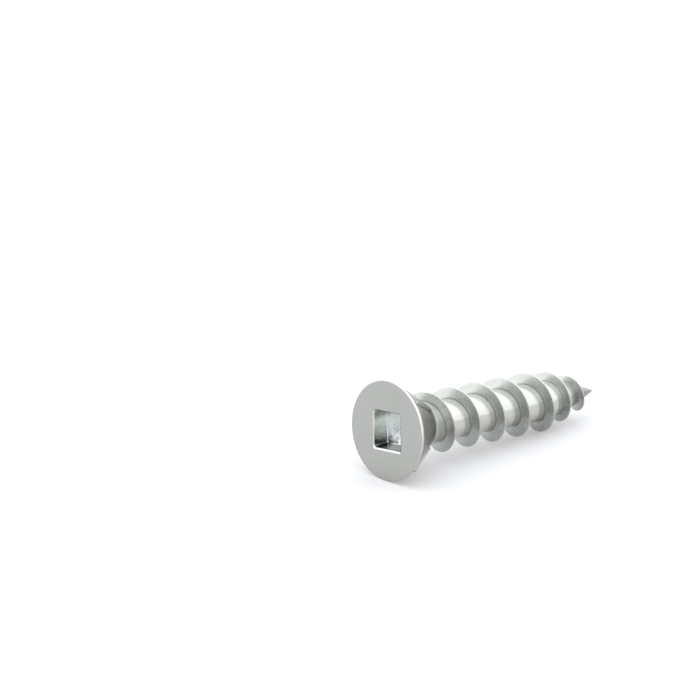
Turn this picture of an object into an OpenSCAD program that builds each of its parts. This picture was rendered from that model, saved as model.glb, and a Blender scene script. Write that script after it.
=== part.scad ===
// Flat head wood screw lying at rest on its head rim and a thread crest.
// Millimetres. The screw's axis runs along +X towards the point, and Z is up.

/* [Head] */
// diameter of the head at its flat face
head_d = 7.72; // [7:0.01:9]
// width of the straight land around the head's edge
rim_land = 0.2; // [0.06:0.01:0.3]
// angle between the under-head cone and the screw's axis
cone_angle = 32.2; // [30:0.1:42]

/* [Square recess] */
// distance across the flats of the recess, just under its edge break
recess_w = 2.86; // [2.3:0.01:3.4]
// depth of the recess below the head's face
recess_depth = 1.31; // [0.9:0.01:1.5]
// inward lean of each recess wall
recess_draft = 6; // [0:0.5:10]
// width and depth of the edge break around the recess
recess_break = 0.12; // [0.02:0.01:0.15]
// turn of the recess about the screw's axis
recess_turn = -6.7; // [-45:0.1:45]

/* [Nibs under the head] */
// number of nibs around the cone
nib_count = 4; // [2:1:8]
// width of each nib
nib_w = 0.28; // [0.1:0.01:0.4]
// height of each nib above the cone
nib_h = 0.15; // [0.06:0.01:0.25]
// distance from the head's face to the start of each nib
nib_start = 0.42; // [0.3:0.01:1]
// distance from the head's face to the end of each nib
nib_end = 3.1; // [2:0.05:3.2]
// slope of the nibs' ends against the cone
nib_end_angle = 55; // [30:1:80]
// turn of the first nib from the side the screw lies on
nib_turn = 41; // [-45:0.1:45]

/* [Shank] */
// length of the screw from the head's face to the point
screw_length = 22.6; // [22.1:0.01:25]
// diameter of the core between the threads
core_d = 3.11; // [2.7:0.01:3.6]
// distance from the head's face to where the point begins
point_start = 16.04; // [14:0.01:18]
// roundness of the point, where 1 is a straight cone
point_shape = 1.75; // [1:0.05:2.2]
// widening of the core where it meets the cone
neck_flare = 0.24; // [0.05:0.01:0.3]
// distance past the cone over which the core widens
neck_length = 2.5; // [0.5:0.1:2.5]

/* [Thread] */
// outside diameter of the thread
thread_d = 4.83; // [4.2:0.01:5.4]
// distance between neighbouring crests along the straight part
pitch = 2.71; // [2.65:0.01:2.75]
// distance between neighbouring crests over the point
point_pitch = 2.1; // [1.8:0.01:2.15]
// width of the land on the crest
crest_w = 0.09; // [0.05:0.01:0.2]
// angle between the two flanks
flank_angle = 26; // [16:1:40]
// distance from the head's face to the first crest on the side the screw lies on
first_crest = 5.6; // [5.4:0.01:5.8]
// full turns from that crest to where the thread starts to narrow
full_turns = 4; // [3:1:4]
// narrowing of the crest's radius for each millimetre over the point
crest_taper = 0.258; // [0.22:0.001:0.3]
// distance from the head's face to where the thread begins
thread_start = 3.0; // [2.9:0.05:3.6]
// distance over which the thread rises to its full height
thread_rise = 1.0; // [0.5:0.05:1.5]
// distance from the head's face to where the thread stops
thread_end = 21.3; // [20:0.05:21.4]

/* [Hidden] */
// which node is drawn, or all
$fn = 96;
zinc = [0.73, 0.735, 0.72];

// steps around one turn of the thread, and points across one pitch
steps = 36;
across = 7;
// overlap that buries one solid in the next
bury = 0.4;

head_r = head_d / 2;
core_r = core_d / 2;
crest_r = thread_d / 2;
cone_slope = tan(cone_angle);
cone_inner_r = core_r - bury;
cone_inner_s = rim_land + (head_r - cone_inner_r) / cone_slope;
neck_start = rim_land + (head_r - core_r - neck_flare) / cone_slope;
neck_end = neck_start + neck_length;

// the screw lies on the rim of its head and on the last full crest
contact_crest = first_crest + full_turns * pitch;
contact_s = contact_crest + crest_w / 2;
tilt = atan((head_r - crest_r) / (contact_s - rim_land));
axis_height = rim_land * sin(tilt) + head_r * cos(tilt);
span_x = screw_length * cos(tilt) + head_r * sin(tilt);
head_x = head_r * sin(tilt) - span_x / 2;

// radius of the core at a distance s from the head's face
function point_u(s) = min(1, max(0, (s - point_start) / (screw_length - point_start)));
function flare_u(s) = min(1, max(0, (neck_end - s) / neck_length));
function core_at(s) = core_r * (1 - pow(point_u(s), point_shape)) + neck_flare * pow(flare_u(s), 2);

// the crest line: distance from the head's face after t turns from the first crest
function crest_s(t) = first_crest + pitch * min(t, full_turns) + point_pitch * max(0, t - full_turns);
function root_s(t) = (crest_s(t - 1) + crest_s(t)) / 2;

// height of the thread above the core after t turns
function rise(t) = min(1, max(0, (crest_s(t) - thread_start) / thread_rise));
function wave(u) = u * u * (3 - 2 * u);
function crest_full(t) = crest_r - crest_taper * max(0, crest_s(t) - contact_crest);
function thread_h(t) = crest_s(t) > thread_end ? 0
    : wave(rise(t)) * max(0, crest_full(t) - core_at(crest_s(t)));

// the threaded shank is one strip wound from its base ring to its end ring
base_s = 2;
end_gap = 0.2;
first_row = ceil(((base_s - first_crest) / pitch - 0.5) * steps);
turns_to_end = full_turns + 0.5 + (screw_length - end_gap - contact_crest) / point_pitch;
last_row = floor(turns_to_end * steps);
rows = last_row - first_row;
ring_a = root_s((first_row + steps) / steps);
ring_b = root_s(last_row / steps);

function turn_at(row) = (first_row + row) / steps;
function edge_s(t) = min(ring_b, max(ring_a, root_s(t)));
function half_base(t) = crest_w / 2 + thread_h(t) * tan(flank_angle / 2) + 0.02;

// distance from the head's face of point i across the strip
function strip_s(t, i) = let (lo = edge_s(t), hi = edge_s(t + 1), c = crest_s(t), b = half_base(t))
    thread_h(t) == 0 ? lo + (hi - lo) * i / across
    : i == 0 ? lo
    : i == 1 ? (lo + c - b) / 2
    : i == 2 ? c - b
    : i == 3 ? c - crest_w / 2
    : i == 4 ? c + crest_w / 2
    : i == 5 ? c + b
    : (c + b + hi) / 2;

function strip_r(t, i) = (i == 3 || i == 4) && thread_h(t) > 0
    ? core_at(crest_s(t)) + thread_h(t)
    : core_at(strip_s(t, i));

function around(s, r, turn) = [s, r * sin(360 * turn), -r * cos(360 * turn)];

// number of a strip point, where the strip's two ends close to one point each
last_point = 1 + (rows - 1) * across;
tip_point = last_point + steps;
base_point = tip_point + 1;
function strip_id(row, i) = row <= 0 ? 0
    : row == rows ? last_point
    : i == across ? upper_id(row)
    : (row == steps && i == 0) ? 0
    : 1 + (row - 1) * across + i;
function upper_id(row) = row + steps < rows ? strip_id(row + steps, 0)
    : last_point + row + steps - rows;

strip_points = concat(
    [around(ring_a, core_at(ring_a), turn_at(0))],
    [for (row = [1 : rows - 1], i = [0 : across - 1])
        around(strip_s(turn_at(row), i), strip_r(turn_at(row), i), turn_at(row))],
    [for (k = [0 : steps - 1]) around(ring_b, core_at(ring_b), turn_at(rows + k))],
    [[screw_length, 0, 0], [ring_a, 0, 0]]);

strip_faces = concat(
    [for (row = [1 : rows - 1], i = [0 : across - 1])
        [strip_id(row, i), strip_id(row, i + 1), strip_id(row + 1, i)]],
    [for (row = [0 : rows - 2], i = [0 : across - 1])
        [strip_id(row + 1, i), strip_id(row, i + 1), strip_id(row + 1, i + 1)]],
    [for (k = [0 : steps - 1]) [base_point, strip_id(k, 0), strip_id((k + 1) % steps, 0)]],
    [for (k = [0 : steps - 1]) [tip_point, last_point + (k + 1) % steps, last_point + k]]);

module threaded_shank() {
    polyhedron(points = strip_points, faces = strip_faces, convexity = 20);
}

// the head turned about the screw's axis, with its cone running into the shank
module head_blank() {
    rotate([0, 90, 0])
        rotate_extrude()
            polygon([
                [0, 0],
                [head_r, 0],
                [head_r, rim_land],
                [cone_inner_r, cone_inner_s],
                [0, cone_inner_s]]);
}

// one nib: a bar along the cone, standing nib_h above it
module nib() {
    run = nib_end - nib_start;
    start_r = head_r - (nib_start - rim_land) * cone_slope;
    end_r = head_r - (nib_end - rim_land) * cone_slope;
    out_s = nib_h * sin(cone_angle);
    out_r = nib_h * cos(cone_angle);
    ease = nib_h / tan(nib_end_angle);
    ease_s = ease * cos(cone_angle);
    ease_r = ease * sin(cone_angle);
    rotate([90, 0, 0])
        translate([0, 0, -nib_w / 2])
            linear_extrude(height = nib_w)
                polygon([
                    [nib_start, -start_r + bury],
                    [nib_start, -start_r],
                    [nib_start + out_s + ease_s, -start_r - out_r + ease_r],
                    [nib_end + out_s - ease_s, -end_r - out_r - ease_r],
                    [nib_end, -end_r],
                    [nib_end, -end_r + bury]]);
}

// a square frustum with its wide end on the head's face
module square_pocket(wide, narrow, depth, above) {
    half_turn = sqrt(2) / 2;
    grow = (wide - narrow) * above / depth;
    rotate([0, 90, 0])
        rotate([0, 0, 45])
            translate([0, 0, -above])
                cylinder(h = depth + above, r1 = (wide + grow) * half_turn, r2 = narrow * half_turn, $fn = 4);
}

module recess() {
    above = 0.3;
    lean = recess_depth * tan(recess_draft);
    rotate([recess_turn, 0, 0]) {
        square_pocket(recess_w, recess_w - 2 * lean, recess_depth, above);
        square_pocket(recess_w + 2 * recess_break, recess_w, recess_break, above);
    }
}

module screw() {
    color(zinc)
        translate([head_x, 0, axis_height])
            rotate([0, tilt, 0])
                union() {
                    difference() {
                        union() {
                            head_blank();
                            for (k = [0 : nib_count - 1])
                                rotate([nib_turn + k * 360 / nib_count, 0, 0])
                                    nib();
                        }
                        recess();
                    }
                    threaded_shank();
                }
}

screw();
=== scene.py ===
# %% [markdown]
# # A flat head wood screw, finished over its CAD frame
# The CAD model gives this screw its true size.
# This lesson adds what the eye expects: rounded edges, a smooth thread, a punched recess
# and bright zinc. Each step follows the maker's own order, because a screw is easiest to
# model in the way it is made: a blank is headed, its recess is punched, its thread is
# rolled, and then it is plated.

# %% Load the frame
import math

import bpy
from mathutils import Matrix, Vector


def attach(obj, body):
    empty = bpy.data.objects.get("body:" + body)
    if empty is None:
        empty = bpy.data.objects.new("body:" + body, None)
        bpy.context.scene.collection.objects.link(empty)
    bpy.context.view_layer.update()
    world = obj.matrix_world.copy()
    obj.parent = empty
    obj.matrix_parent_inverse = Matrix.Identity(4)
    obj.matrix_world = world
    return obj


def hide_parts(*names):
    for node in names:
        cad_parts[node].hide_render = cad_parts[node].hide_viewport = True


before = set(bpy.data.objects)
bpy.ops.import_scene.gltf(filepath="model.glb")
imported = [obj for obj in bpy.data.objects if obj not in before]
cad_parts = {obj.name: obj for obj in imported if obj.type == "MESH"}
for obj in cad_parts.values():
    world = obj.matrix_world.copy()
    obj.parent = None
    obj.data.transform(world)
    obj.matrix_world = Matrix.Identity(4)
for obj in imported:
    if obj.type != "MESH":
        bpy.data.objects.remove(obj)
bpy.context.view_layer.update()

# %% [markdown]
# The screw's sizes are given once, in millimetres, and every later step reads them. A
# small screw is easier to model at one unit to the millimetre, because merge and bevel
# distances then stay well above Blender's rounding. It is made metres at the very end.
# Its axis runs along +X, and its underside is -Z.

# %% The screw's sizes
HEAD_R = 3.86
RIM_LAND = 0.2
CONE_SLOPE = math.tan(math.radians(32.2))
LENGTH = 22.6
CORE_R = 1.555
NECK_FLARE = 0.24
NECK_LENGTH = 2.5
POINT_START = 16.04
POINT_SHAPE = 1.75
CREST_R = 2.415
PITCH = 2.71
POINT_PITCH = 2.1
FIRST_CREST = 5.6
FULL_TURNS = 4
CREST_TAPER = 0.258
THREAD_START = 3.0
THREAD_RISE = 1.0
THREAD_END = 21.3
RUN_OUT_START = 20.75
FULL_HEIGHT = CREST_R - CORE_R
NECK_START = RIM_LAND + (HEAD_R - CORE_R - NECK_FLARE) / CONE_SLOPE
CREST_W = 0.09

# points closer than this are one point
MERGE = 0.0004

contact = FIRST_CREST + FULL_TURNS * PITCH + CREST_W / 2
TILT = math.atan((HEAD_R - CREST_R) / (contact - RIM_LAND))
AXIS_HEIGHT = RIM_LAND * math.sin(TILT) + HEAD_R * math.cos(TILT)
HEAD_X = HEAD_R * math.sin(TILT) - (LENGTH * math.cos(TILT) + HEAD_R * math.sin(TILT)) / 2
print("the axis dips", round(math.degrees(TILT), 2), "degrees towards the point")


def smooth(u):
    u = min(1.0, max(0.0, u))
    return u * u * (3 - 2 * u)


def cone_radius(s):
    return HEAD_R - (s - RIM_LAND) * CONE_SLOPE


def core_radius(s):
    u = min(1.0, max(0.0, (s - POINT_START) / (LENGTH - POINT_START)))
    neck = min(1.0, max(0.0, 1 - (s - NECK_START) / NECK_LENGTH))
    return CORE_R * (1 - u**POINT_SHAPE) + NECK_FLARE * neck * neck


# %% [markdown]
# The camera comes first, so that every piece can be judged from where the photograph was
# taken. A long lens from about 30 cm away keeps the screw nearly free of perspective, as
# in the photo. The place, the lens and a very small roll come from a fit to both screws
# in the photo, so they are values to keep and not to round.

# %% Camera
camera_data = bpy.data.cameras.new("photo_camera")
camera_data.sensor_width = 36
camera_data.lens = 188.83
camera_data.clip_start = 0.01
camera_data.clip_end = 20
camera = bpy.data.objects.new("photo_camera", camera_data)
bpy.context.scene.collection.objects.link(camera)
camera.location = (-0.189801, -0.188950, 0.098622)
aim = Vector((0.007439, 0.024121, 0.0))
facing = (aim - camera.location).to_track_quat("-Z", "Y")
camera.rotation_euler = (facing.to_matrix() @ Matrix.Rotation(math.radians(0.41), 3, "Z")).to_euler()
bpy.context.scene.camera = camera
print("camera to aim:", round((aim - camera.location).length, 4), "m")

# %% [markdown]
# The photo has a plain white ground that fades into its background. One large pale plane
# does that. It glows a little, like paper on a light table, so that the shadow on it stays
# as faint as in the photo. Its colour and its glow were set together by comparing tones:
# with more glow, the thread's undersides came out too bright.


# %% Floor
def deselect_all():
    bpy.ops.object.select_all(action="DESELECT")
    bpy.context.view_layer.objects.active = None


deselect_all()
bpy.ops.mesh.primitive_plane_add(size=6.0, location=(0, 0, 0))
floor = bpy.context.object
floor.name = "floor"
paper = bpy.data.materials.new("white_paper")
paper.use_nodes = True
paper_shader = paper.node_tree.nodes["Principled BSDF"]
paper_shader.inputs["Base Color"].default_value = (0.465, 0.465, 0.470, 1)
paper_shader.inputs["Emission Color"].default_value = (1.0, 1.0, 1.0, 1)
paper_shader.inputs["Emission Strength"].default_value = 0.19
paper_shader.inputs["Roughness"].default_value = 0.9
paper_shader.inputs["Specular IOR Level"].default_value = 0.1
floor.data.materials.append(paper)

# %% [markdown]
# Bright metal shows its surroundings more than its own colour, so the light is most of
# its look. A few lamps would leave hard white spots on it. Here the whole room glows
# softly instead, as in a white light tent, and its ceiling is a little brighter than its
# walls. So the screw gets its white and grey bands, and the shadow under it stays soft.
# The glow is a touch blue, because the greys of the photo are slightly cool.

# %% Light
world = bpy.context.scene.world or bpy.data.worlds.new("studio")
bpy.context.scene.world = world
world.use_nodes = True
bpy.context.scene.view_settings.view_transform = "Standard"
sky, wires = world.node_tree.nodes, world.node_tree.links
WALL_GLOW, CEILING_GLOW = 1.75, 2.15
ray = sky.new("ShaderNodeTexCoord")
height = sky.new("ShaderNodeSeparateXYZ")
wires.new(ray.outputs["Generated"], height.inputs[0])
glow = sky.new("ShaderNodeMapRange")
glow.interpolation_type = "SMOOTHSTEP"
for socket, value in (("From Min", 0.2), ("From Max", 0.65), ("To Min", WALL_GLOW), ("To Max", CEILING_GLOW)):
    glow.inputs[socket].default_value = value
wires.new(height.outputs["Z"], glow.inputs["Value"])
wires.new(glow.outputs["Result"], sky["Background"].inputs["Strength"])
sky["Background"].inputs["Color"].default_value = (0.99, 1.0, 1.02, 1)
print("the walls glow at", WALL_GLOW, "and the ceiling at", CEILING_GLOW)

# %% [markdown]
# ## The blank
# A screw starts as wire whose end is squeezed into a head. Its shape is round about one
# axis, so it is drawn as a line from the head's edge to the point and spun round. The
# line could be a curve with a bevel, but an extruded line of points gives full control
# of the small land at the rim, and of the soft neck where the cone meets the core.


# %% Draw the blank's outline
def draw_line(name, points):
    """A line of points in the XZ plane, extruded one by one from a single vertex."""
    deselect_all()
    bpy.ops.mesh.primitive_plane_add(size=0.1, location=(0, 0, 0))
    line = bpy.context.object
    line.name = name
    bpy.ops.object.mode_set(mode="EDIT")
    bpy.ops.mesh.select_mode(type="VERT")
    bpy.ops.mesh.select_all(action="SELECT")
    bpy.ops.mesh.merge(type="CENTER")
    bpy.ops.transform.translate(value=(points[0][0], 0, points[0][1]))
    for (s0, r0), (s1, r1) in zip(points, points[1:]):
        bpy.ops.mesh.extrude_region_move(
            TRANSFORM_OT_translate={"value": (s1 - s0, 0, r1 - r0)}
        )
    bpy.ops.object.mode_set(mode="OBJECT")
    return line


def arc(centre, radius, start, end, count):
    step = (math.radians(end) - math.radians(start)) / count
    begin = math.radians(start)
    return [(centre[0] + radius * math.cos(begin + i * step), centre[1] + radius * math.sin(begin + i * step))
            for i in range(count + 1)]


def blank_radius(s):
    """The cone and the core, joined by a small fillet."""
    cone, core, blend = cone_radius(s), core_radius(s), 0.04
    near = max(blend - abs(cone - core), 0) / blend
    return max(cone, core) + near * near * blend / 4


def steps_between(start, end, count):
    return [start + (end - start) * i / count for i in range(count)]


RIM_ROUND, LAND_ROUND = 0.05, 0.03
outline = [(0, 3.5), (0, 3.66)]
outline += arc((RIM_ROUND, HEAD_R - RIM_ROUND), RIM_ROUND, 180, 90, 4)
outline += arc((RIM_LAND - LAND_ROUND, HEAD_R - LAND_ROUND), LAND_ROUND, 90, 56, 2)
along = steps_between(RIM_LAND + 0.05, 3.2, 10) + steps_between(3.2, 3.9, 14)
along += steps_between(3.9, 6.0, 10) + steps_between(6.0, POINT_START, 16)
along += steps_between(POINT_START, LENGTH - 0.3, 26) + steps_between(LENGTH - 0.3, LENGTH, 5)
outline += [(s, blank_radius(s)) for s in along] + [(LENGTH, 0)]
blank = draw_line("blank", outline)
print("the outline has", len(blank.data.vertices), "points")

# %% [markdown]
# Spin is the lathe of edit mode. It leaves the first and last copies of the line on top
# of each other and a ring of points at the tip, so the doubles are merged, and then the
# normals are made to face outwards.

# %% Spin the blank
deselect_all()
blank.select_set(True)
bpy.context.view_layer.objects.active = blank
bpy.ops.object.mode_set(mode="EDIT")
bpy.ops.mesh.select_all(action="SELECT")
bpy.ops.mesh.spin(steps=160, angle=math.tau, center=(0, 0, 0), axis=(1, 0, 0))
bpy.ops.mesh.select_all(action="SELECT")
bpy.ops.mesh.remove_doubles(threshold=MERGE)
bpy.ops.mesh.normals_make_consistent(inside=False)
bpy.ops.object.mode_set(mode="OBJECT")
print("the blank has", len(blank.data.polygons), "faces")

# %% [markdown]
# ## The square recess
# A square punch makes the recess. Its walls lean in a little, so that the punch comes
# out again, its corners are slightly round, and its bottom is a shallow pyramid. The
# recess is drawn from the mouth inwards: a square loop is extruded and narrowed, step by
# step. A boolean cut would be quicker, but it leaves long thin faces round the mouth,
# and a bevel there often breaks. The edge break at the mouth is a hair off centre, because
# the photo shows it brighter along one side than the other. The small corner radii and
# the pyramid are what such a punch usually leaves. The photo is too small to measure them.

# %% Shape the recess
RECESS_W = 2.86
RECESS_DEPTH = 1.31
RECESS_TURN = math.radians(-6.7)
LEAN = math.tan(math.radians(6))
MOUTH_HALF = RECESS_W / 2 + 0.16
MOUTH_SHIFT = (-0.05, -0.02)
FLOOR_ROUND = 0.1

deselect_all()
bpy.ops.mesh.primitive_plane_add(size=2 * MOUTH_HALF, location=(0, *MOUTH_SHIFT),
                                 rotation=(0, math.pi / 2, 0))
recess = bpy.context.object
recess.name = "recess"
bpy.ops.object.transform_apply(location=True, rotation=True, scale=True)
bpy.ops.object.mode_set(mode="EDIT")
bpy.ops.mesh.select_mode(type="VERT")
bpy.ops.mesh.select_all(action="SELECT")
bpy.ops.mesh.bevel(offset=0.2, segments=9, affect="VERTICES")
bpy.ops.mesh.select_all(action="SELECT")
bpy.ops.mesh.delete(type="ONLY_FACE")
bpy.ops.object.mode_set(mode="OBJECT")
for edge in recess.data.edges:
    a, b = (recess.data.vertices[i].co for i in edge.vertices)
    edge.select = (a - b).length > 1.0
for vertex in recess.data.vertices:
    vertex.select = False
print("the recess has", sum(e.select for e in recess.data.edges), "long sides to divide")
bpy.ops.object.mode_set(mode="EDIT")
bpy.ops.mesh.select_mode(type="EDGE")
bpy.ops.mesh.subdivide(number_cuts=30)
bpy.ops.mesh.select_all(action="SELECT")


def sink(depth, half, centre, state):
    """Extrude the selected loop to a new depth, half width and centre."""
    move = (depth - state[0], centre[0] - state[2][0], centre[1] - state[2][1])
    bpy.ops.mesh.extrude_region_move(TRANSFORM_OT_translate={"value": move})
    k = half / state[1]
    bpy.ops.transform.resize(value=(1, k, k), center_override=(depth, *centre))
    return depth, half, centre


half_w = RECESS_W / 2
steps = [(0.0, half_w + 0.12), (0.006, half_w + 0.107), (0.02, half_w + 0.093), (0.1, half_w + 0.013)]
steps += [(0.13, half_w - 0.006 * LEAN), (0.17, half_w - 0.05 * LEAN)]
wall_end = RECESS_DEPTH - 0.14
steps += [(wall_end, half_w - wall_end * LEAN)]
floor_half = half_w - RECESS_DEPTH * LEAN
steps += [(RECESS_DEPTH - FLOOR_ROUND * (1 - math.sin(a)), floor_half - FLOOR_ROUND * (1 - math.cos(a)))
          for a in (math.radians(d) for d in (20, 45, 70, 90))]
steps += [(RECESS_DEPTH + 0.04, floor_half * 0.8), (RECESS_DEPTH + 0.3, floor_half * 0.2)]
state = (0.0, MOUTH_HALF, MOUTH_SHIFT)
for depth, half in steps:
    state = sink(depth, half, MOUTH_SHIFT if depth < 0.05 else (0, 0), state)
bpy.ops.mesh.merge(type="CENTER")
bpy.ops.object.mode_set(mode="OBJECT")
recess.rotation_euler = (RECESS_TURN, 0, 0)
deselect_all()
recess.select_set(True)
bpy.context.view_layer.objects.active = recess
bpy.ops.object.transform_apply(location=True, rotation=True, scale=True)
print("the recess has", len(recess.data.polygons), "faces")

# %% [markdown]
# The head's face is the flat ring between the recess and the rim. Both loops have 160
# points, so a bridge between them gives clean, flat faces.

# %% Join the recess to the blank
deselect_all()
recess.select_set(True)
blank.select_set(True)
bpy.context.view_layer.objects.active = blank
bpy.ops.object.join()
bpy.ops.object.mode_set(mode="EDIT")
bpy.ops.mesh.select_mode(type="EDGE")
bpy.ops.mesh.select_all(action="DESELECT")
bpy.ops.mesh.select_non_manifold(extend=False, use_wire=False, use_boundary=True,
                                 use_multi_face=False, use_non_contiguous=False, use_verts=False)
bpy.ops.mesh.bridge_edge_loops()
bpy.ops.mesh.select_all(action="SELECT")
bpy.ops.mesh.normals_make_consistent(inside=False)
bpy.ops.object.mode_set(mode="OBJECT")
print("the headed blank has", len(blank.data.polygons), "faces")

# %% [markdown]
# ## The nibs
# Four small ribs under the head help the screw to cut its own seat. Each is like half of
# a thin round rod laid along the cone. A cylinder with rounded ends is flattened a
# little, sunk to its middle in the cone and copied round. Each copy has its own mesh, so
# that all of them can be joined into the screw.

# %% Shape the nibs
NIB_W, NIB_H, NIB_START, NIB_END = 0.28, 0.15, 0.42, 3.1
NIB_TURN = math.radians(41)
cone_angle = math.atan(CONE_SLOPE)
nib_length = (NIB_END - NIB_START) / math.cos(cone_angle)
nib_middle = (NIB_START + NIB_END) / 2
nibs = []
for k in range(4):
    deselect_all()
    bpy.ops.mesh.primitive_cylinder_add(vertices=24, radius=0.5, depth=1, location=(0, 0, 0),
                                        rotation=(0, math.pi / 2, 0))
    nib = bpy.context.object
    nib.name = f"nib_{k}"
    bpy.ops.object.transform_apply(location=True, rotation=True, scale=True)
    nib.scale = (nib_length, NIB_W, NIB_H * 2)
    bpy.ops.object.transform_apply(location=True, rotation=True, scale=True)
    bpy.ops.object.mode_set(mode="EDIT")
    bpy.ops.mesh.select_mode(type="EDGE")
    bpy.ops.mesh.select_all(action="DESELECT")
    bpy.ops.object.mode_set(mode="OBJECT")
    for edge in nib.data.edges:
        ends = [nib.data.vertices[i].co.x for i in edge.vertices]
        edge.select = abs(ends[0] - ends[1]) < 0.01
    bpy.ops.object.mode_set(mode="EDIT")
    bpy.ops.mesh.bevel(offset=0.06, segments=3, affect="EDGES")
    bpy.ops.object.mode_set(mode="OBJECT")
    lay = Matrix.Rotation(-cone_angle, 4, "Y")
    seat = Matrix.Translation((nib_middle, 0, -cone_radius(nib_middle)))
    nib.matrix_world = Matrix.Rotation(NIB_TURN + k * math.pi / 2, 4, "X") @ seat @ lay
    bpy.context.view_layer.update()
    bpy.ops.object.transform_apply(location=True, rotation=True, scale=True)
    nibs.append(nib)
print("nibs:", len(nibs), "each", round(nib_length, 2), "mm long,", len(nibs[0].data.polygons), "faces")

# %% [markdown]
# ## The thread
# Two dies roll the thread up out of the core. It is thin and tall, with a narrow crest
# and a sharp foot. Its cross-section is drawn first, as a closed line of points, on the
# side that the screw lies on. It starts a little below the core's surface, so that the
# ridge stays sunk in the core all along.

# %% Draw the thread's cross-section
FLANK = math.radians(13)
CREST_HALF = CREST_W / 2
FOOT_HALF = CREST_HALF + FULL_HEIGHT * math.tan(FLANK)
side = [(FOOT_HALF - h * math.tan(FLANK), h) for h in (-0.12, 0.0, 0.06, 0.14, 0.3, 0.55, 0.76)]
side += [(CREST_HALF + 0.008, FULL_HEIGHT - 0.035), (CREST_HALF - 0.004, FULL_HEIGHT - 0.012),
         (CREST_HALF - 0.02, FULL_HEIGHT)]
section = side + [(-x, h) for x, h in reversed(side)]
FIRST_TURN = -1
LAST_TURN = FULL_TURNS + (THREAD_END - FIRST_CREST - FULL_TURNS * PITCH) / POINT_PITCH
start_s = FIRST_CREST + PITCH * FIRST_TURN
thread = draw_line("thread", [(start_s + x, -CORE_R - h) for x, h in section + section[:1]])
deselect_all()
thread.select_set(True)
bpy.context.view_layer.objects.active = thread
bpy.ops.object.mode_set(mode="EDIT")
bpy.ops.mesh.select_all(action="SELECT")
bpy.ops.mesh.remove_doubles(threshold=MERGE)
bpy.ops.object.mode_set(mode="OBJECT")
print("the cross-section has", len(thread.data.vertices), "points")

# %% [markdown]
# The Screw modifier winds the section round the core, because a thread is just that: one
# section, turned and moved on at the same time. It leaves both ends of the ridge open, so
# they are closed, and then the normals are made to face outwards.

# %% Wind the thread
turns = LAST_TURN - FIRST_TURN
wind = thread.modifiers.new("wind", "SCREW")
wind.axis = "X"
wind.angle = math.tau * turns
wind.screw_offset = PITCH * turns
wind.iterations = 1
wind.steps = wind.render_steps = round(144 * turns)
wind.use_merge_vertices = False
wind.use_smooth_shade = True
bpy.ops.object.modifier_apply(modifier="wind")
bpy.ops.object.mode_set(mode="EDIT")
bpy.ops.mesh.select_mode(type="EDGE")
bpy.ops.mesh.select_all(action="DESELECT")
bpy.ops.mesh.select_non_manifold(extend=False, use_wire=False, use_boundary=True,
                                 use_multi_face=False, use_non_contiguous=False, use_verts=False)
bpy.ops.mesh.edge_face_add()
bpy.ops.mesh.select_all(action="SELECT")
bpy.ops.mesh.normals_make_consistent(inside=False)
bpy.ops.object.mode_set(mode="OBJECT")
print("the wound ridge has", len(thread.data.polygons), "faces, turns", round(turns, 2))

# %% [markdown]
# The wound ridge has the same height and pitch all along, and a real thread hasn't. So
# each of its points is moved: the thread rises out of the neck at its start, gets lower
# over the point while its turns come closer, and runs out over its last quarter turn.
# The photo hides that end, but a rolled thread wouldn't stop at full height. Each point
# also keeps a value named foot, which is highest at the foot of the thread, less so over
# the point, and 0 higher up. The flank's finish reads it to paint shade into the thin dark
# crease of the photo, where the thread meets the core.


# %% Fit the thread to the core
def crest_place(t):
    """How far from the head's face the crest is after t turns."""
    return FIRST_CREST + PITCH * min(t, FULL_TURNS) + POINT_PITCH * max(0, t - FULL_TURNS)


def crest_height(t):
    """The thread's height above the core after t turns."""
    s = crest_place(t)
    top = CREST_R - CREST_TAPER * max(0, s - FIRST_CREST - FULL_TURNS * PITCH)
    run_out = 1 - 0.85 * smooth((s - RUN_OUT_START) / (THREAD_END - RUN_OUT_START))
    return smooth((s - THREAD_START) / THREAD_RISE) * run_out * max(0, top - core_radius(s))


lowest_t, highest_t = 99, -99
# foot is a mask for painted shade: it darkens the flank's colour in the crease where the thread meets the
# core
foot = thread.data.attributes.new("foot", "FLOAT", "POINT")
CREASE = 0.14
for vertex in thread.data.vertices:
    s, y, z = vertex.co
    part = math.atan2(y, -z) / math.tau
    t = part + round((s - FIRST_CREST) / PITCH - part)
    lowest_t, highest_t = min(lowest_t, t), max(highest_t, t)
    x = s - FIRST_CREST - PITCH * t
    h = math.hypot(y, z) - CORE_R
    over_point = smooth((t - FULL_TURNS) / 1.5)
    foot.data[vertex.index].value = max(0.0, 1 - max(h, 0) / CREASE) * (1 - 0.6 * over_point)
    k = crest_height(t) / FULL_HEIGHT
    s = crest_place(t) + x * (0.35 + 0.65 * k)
    r = core_radius(s) + (h * k if h > 0 else h * min(1, core_radius(s)))
    if k < 0.02:
        r -= 0.03
    vertex.co = (s, r * math.sin(math.tau * t), -r * math.cos(math.tau * t))
thread.data.update()
print("turns found:", round(lowest_t, 2), "to", round(highest_t, 2))

# %% [markdown]
# ## Bright zinc
# Bright zinc plate is a thin, slightly cool metal skin. In the photo its look changes
# over the screw: the head's face is satin, the cone and the core shine more, and the
# flanks are duller. The dies that form each part could well leave such surfaces, and
# they would leave fine marks that run round the core. One node group
# makes such marks, and each finish places it with its own values. The marks read Object
# coordinates, turned back to the screw's own axis, so that they run round it. The group
# also gives out where a point lies: how far from the axis, how far along it, and how far
# towards the side that the screw lies on.


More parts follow.
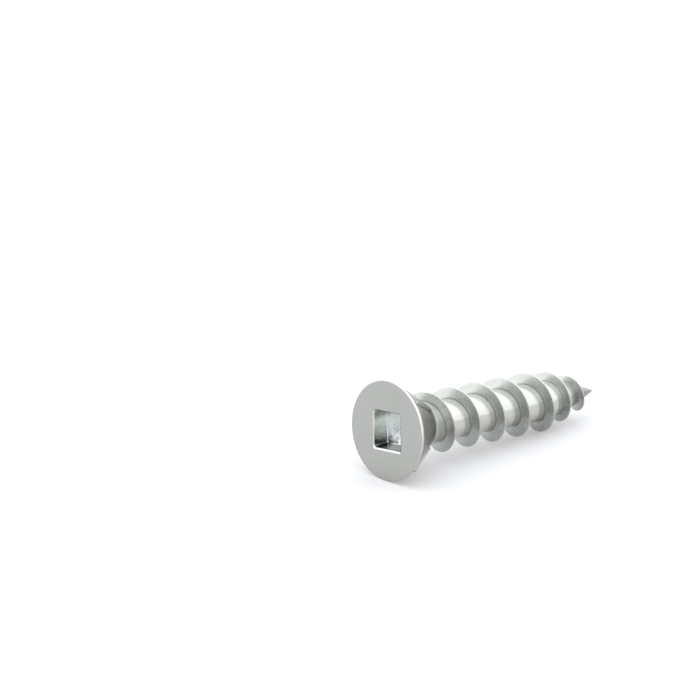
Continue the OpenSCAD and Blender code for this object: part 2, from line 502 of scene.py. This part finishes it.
# %% A group for marks that run round the screw
def make_round_marks():
    """Fine marks round the axis, slow cloudy patches, and where a point lies on the screw."""
    group = bpy.data.node_groups.new("round_marks", "ShaderNodeTree")
    for name, value in (("Vector", None), ("Marks per mm", 20.0), ("Wander", 0.5), ("Patch size", 0.6)):
        kind = "NodeSocketVector" if value is None else "NodeSocketFloat"
        socket = group.interface.new_socket(name=name, in_out="INPUT", socket_type=kind)
        if value is not None:
            socket.default_value = value
    group.interface.new_socket(name="Marks", in_out="OUTPUT", socket_type="NodeSocketFloat")
    group.interface.new_socket(name="Patches", in_out="OUTPUT", socket_type="NodeSocketFloat")
    group.interface.new_socket(name="Radius", in_out="OUTPUT", socket_type="NodeSocketFloat")
    group.interface.new_socket(name="Low side", in_out="OUTPUT", socket_type="NodeSocketFloat")
    group.interface.new_socket(name="Along", in_out="OUTPUT", socket_type="NodeSocketFloat")
    nodes, links = group.nodes, group.links
    start = nodes.new("NodeGroupInput")
    end = nodes.new("NodeGroupOutput")
    apart = nodes.new("ShaderNodeSeparateXYZ")
    links.new(start.outputs["Vector"], apart.inputs[0])

    def math_node(operation, a, b=None):
        node = nodes.new("ShaderNodeMath")
        node.operation = operation
        for i, value in enumerate((a, b)):
            if value is None:
                continue
            if isinstance(value, (int, float)):
                node.inputs[i].default_value = value
            else:
                links.new(value, node.inputs[i])
        return node.outputs[0]

    y2 = math_node("MULTIPLY", apart.outputs[1], apart.outputs[1])
    z2 = math_node("MULTIPLY", apart.outputs[2], apart.outputs[2])
    radius = math_node("SQRT", math_node("ADD", y2, z2))
    links.new(radius, end.inputs["Radius"])
    links.new(math_node("MULTIPLY", apart.outputs[2], -1.0), end.inputs["Low side"])
    links.new(apart.outputs[0], end.inputs["Along"])
    across = math_node("ADD", apart.outputs[0], math_node("MULTIPLY", radius, 1.7))
    fine = nodes.new("ShaderNodeCombineXYZ")
    links.new(math_node("MULTIPLY", across, start.outputs["Marks per mm"]), fine.inputs[0])
    links.new(math_node("MULTIPLY", apart.outputs[1], start.outputs["Wander"]), fine.inputs[1])
    links.new(math_node("MULTIPLY", apart.outputs[2], start.outputs["Wander"]), fine.inputs[2])
    marks = nodes.new("ShaderNodeTexNoise")
    marks.inputs["Scale"].default_value = 1.0
    marks.inputs["Detail"].default_value = 3.0
    links.new(fine.outputs[0], marks.inputs["Vector"])
    links.new(marks.outputs["Fac"], end.inputs["Marks"])
    patches = nodes.new("ShaderNodeTexNoise")
    patches.inputs["Detail"].default_value = 3.0
    links.new(start.outputs["Vector"], patches.inputs["Vector"])
    links.new(start.outputs["Patch size"], patches.inputs["Scale"])
    links.new(patches.outputs["Fac"], end.inputs["Patches"])
    return group


round_marks = make_round_marks()

# %% [markdown]
# Each zinc finish is one metal shader. The marks give it a slight change of tone, a
# change of roughness and a small bump. The amounts are kept low, because real plating is
# nearly even, and the eye finds a too busy metal false at once.
#
# A finish can also fade to another tone by where a point lies. The photo is darker in the
# crease of the thread, over the point, and in the corners and low side of the recess. In
# the crease and the recess that darkness is shade, so those fades are painted shade, and
# the recess walls also get a painted highlight in their corners near the mouth. Over the
# point the core's colour just turns darker. The amount of each fade was found by comparing
# tones with the photo. The value named edge makes a finish less bright at a low angle. The
# cone and its nibs have it, because their outlines came out too bright without it.


# %% The zinc finishes
def zinc(name, colour, rough, rough_change, marks_per_mm, wander, patch_size, tone, bump, fades=(), edge=1.0):
    material = bpy.data.materials.new(name)
    material.use_nodes = True
    nodes, links = material.node_tree.nodes, material.node_tree.links
    shader = nodes["Principled BSDF"]
    shader.inputs["Metallic"].default_value = 1.0
    shader.inputs["Specular Tint"].default_value = (edge, edge, edge, 1)
    place = nodes.new("ShaderNodeTexCoord")
    turn = nodes.new("ShaderNodeMapping")
    turn.vector_type = "TEXTURE"
    turn.inputs["Location"].default_value = (HEAD_X / 1000, 0, AXIS_HEIGHT / 1000)
    turn.inputs["Rotation"].default_value = (0, TILT, 0)
    turn.inputs["Scale"].default_value = (0.001, 0.001, 0.001)
    links.new(place.outputs["Object"], turn.inputs["Vector"])
    marks = nodes.new("ShaderNodeGroup")
    marks.node_tree = round_marks
    marks.inputs["Marks per mm"].default_value = marks_per_mm
    marks.inputs["Wander"].default_value = wander
    marks.inputs["Patch size"].default_value = patch_size
    links.new(turn.outputs["Vector"], marks.inputs["Vector"])

    shade = nodes.new("ShaderNodeMapRange")
    shade.inputs["From Min"].default_value = 0.3
    shade.inputs["From Max"].default_value = 0.7
    shade.inputs["To Min"].default_value = 1 - tone
    shade.inputs["To Max"].default_value = 1 + tone
    links.new(marks.outputs["Patches"], shade.inputs["Value"])
    tint = nodes.new("ShaderNodeVectorMath")
    tint.operation = "SCALE"
    tint.inputs[0].default_value = colour
    scale_now = shade.outputs["Result"]
    # each fade scales the colour by where a point lies; this is how painted shade and painted highlight get
    # into a finish
    for source, start, stop, share in fades:
        fade = nodes.new("ShaderNodeMapRange")
        fade.interpolation_type = "SMOOTHSTEP"
        for socket, value in (("From Min", start), ("From Max", stop), ("To Min", 1.0), ("To Max", share)):
            fade.inputs[socket].default_value = value
        if source == "foot":
            read = nodes.new("ShaderNodeAttribute")
            read.attribute_name = "foot"
            links.new(read.outputs["Fac"], fade.inputs["Value"])
        else:
            links.new(marks.outputs[source], fade.inputs["Value"])
        both = nodes.new("ShaderNodeMath")
        both.operation = "MULTIPLY"
        links.new(scale_now, both.inputs[0])
        links.new(fade.outputs["Result"], both.inputs[1])
        scale_now = both.outputs[0]
    links.new(scale_now, tint.inputs["Scale"])
    links.new(tint.outputs["Vector"], shader.inputs["Base Color"])

    mix = nodes.new("ShaderNodeMath")
    mix.operation = "ADD"
    links.new(marks.outputs["Marks"], mix.inputs[0])
    links.new(marks.outputs["Patches"], mix.inputs[1])
    dull = nodes.new("ShaderNodeMapRange")
    dull.inputs["From Min"].default_value = 0.7
    dull.inputs["From Max"].default_value = 1.3
    dull.inputs["To Min"].default_value = rough - rough_change
    dull.inputs["To Max"].default_value = rough + rough_change
    links.new(mix.outputs[0], dull.inputs["Value"])
    links.new(dull.outputs["Result"], shader.inputs["Roughness"])

    if bump > 0:
        relief = nodes.new("ShaderNodeBump")
        relief.inputs["Strength"].default_value = 1.0
        relief.inputs["Distance"].default_value = bump / 1000
        links.new(marks.outputs["Marks"], relief.inputs["Height"])
        links.new(relief.outputs["Normal"], shader.inputs["Normal"])
    return material


finishes = {
    "head_zinc": zinc("head_zinc", (0.402, 0.409, 0.387), 0.30, 0.02, 3.0, 3.0, 0.5, 0.015, 0.0),
    "cone_zinc": zinc("cone_zinc", (0.425, 0.431, 0.402), 0.23, 0.03, 6.0, 0.35, 0.8, 0.04, 0.002,
                      edge=0.66),
    # painted shade: the nibs' zinc is a darker, duller copy of the cone's, so that the nibs stay dark where
    # they would reflect the bright floor
    "nib_zinc": zinc("nib_zinc", (0.345, 0.35, 0.327), 0.34, 0.03, 6.0, 0.35, 0.8, 0.04, 0.0, edge=0.6),
    # the core's colour turns darker over the point
    "core_zinc": zinc("core_zinc", (0.535, 0.538, 0.512), 0.22, 0.05, 14.0, 0.3, 0.9, 0.05, 0.003,
                      [("Along", 17.4, 21.2, 0.46)]),
    # the foot fade is painted shade in the crease at the foot of the thread
    "flank_zinc": zinc("flank_zinc", (0.480, 0.494, 0.470), 0.27, 0.03, 6.0, 0.4, 0.9, 0.05, 0.001,
                       [("foot", 0.0, 1.0, 0.55)]),
    # painted light and shade on the recess walls: a bright colour that turns darker towards the corners and
    # the low side, with a painted highlight in the corners near the mouth
    "wall_zinc": zinc("wall_zinc", (0.885, 0.92, 0.855), 0.14, 0.05, 3.0, 3.0, 1.0, 0.12, 0.006,
                      [("Radius", 1.4, 1.74, 0.36), ("Radius", 1.86, 1.92, 3.4),
                       ("Low side", 0.9, 1.28, 0.28)]),
    # painted shade: the bottom of the recess turns darker towards its corners
    "pit_zinc": zinc("pit_zinc", (0.51, 0.53, 0.55), 0.10, 0.05, 0.8, 0.8, 1.2, 0.06, 0.06,
                     [("Radius", 1.3, 1.7, 0.5)]),
}
print("finishes:", ", ".join(finishes))

# %% [markdown]
# The blank's faces get their finish by where they lie: the flat face, the recess, the
# cone and the core. The edge break round the mouth is bright in the photo, so it has the
# core's finish, and the bottom of the recess has one of its own. The ridge of the thread
# and the nibs each keep one finish.

# %% Put the finishes on
for piece in (thread, *nibs):
    piece.data.materials.clear()
thread.data.materials.append(finishes["flank_zinc"])
for nib in nibs:
    nib.data.materials.append(finishes["nib_zinc"])
order = ["head_zinc", "cone_zinc", "core_zinc", "wall_zinc", "pit_zinc"]
blank.data.materials.clear()
for name in order:
    blank.data.materials.append(finishes[name])
counts = dict.fromkeys(order, 0)
for face in blank.data.polygons:
    s = face.center.x
    r = math.hypot(face.center.y, face.center.z)
    if s < 0.03 and face.normal.x < -0.8:
        name = "head_zinc"
    elif s < RECESS_DEPTH + 0.5 and r < cone_radius(s) - 0.3:
        name = "core_zinc" if s < 0.11 else "wall_zinc" if s < RECESS_DEPTH - FLOOR_ROUND else "pit_zinc"
    elif RIM_LAND < s < NECK_START:
        name = "cone_zinc"
    else:
        name = "core_zinc"
    counts[name] += 1
    face.material_index = order.index(name)
print("faces by finish:", counts)

# %% [markdown]
# ## One screw, at its place in the frame
# The pieces are joined, because the real screw is one piece of metal. It is then tipped
# so that it lies on its rim and a crest, moved to its place and made metres. That place
# is applied to the mesh, so the object itself stays at the origin.

# %% Join, place and smooth the screw
deselect_all()
for piece in (blank, thread, *nibs):
    piece.select_set(True)
bpy.context.view_layer.objects.active = blank
bpy.ops.object.join()
screw = bpy.context.object
screw.name = "zinc_screw"
screw.matrix_world = (
    Matrix.Scale(0.001, 4)
    @ Matrix.Translation((HEAD_X, 0, AXIS_HEIGHT))
    @ Matrix.Rotation(TILT, 4, "Y")
)
bpy.context.view_layer.update()
bpy.ops.object.transform_apply(location=True, rotation=True, scale=True)
bpy.ops.object.shade_smooth_by_angle(angle=math.radians(38))
print("the screw has", sum(len(f.vertices) - 2 for f in screw.data.polygons), "triangles")

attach(screw, "root")
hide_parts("screw")
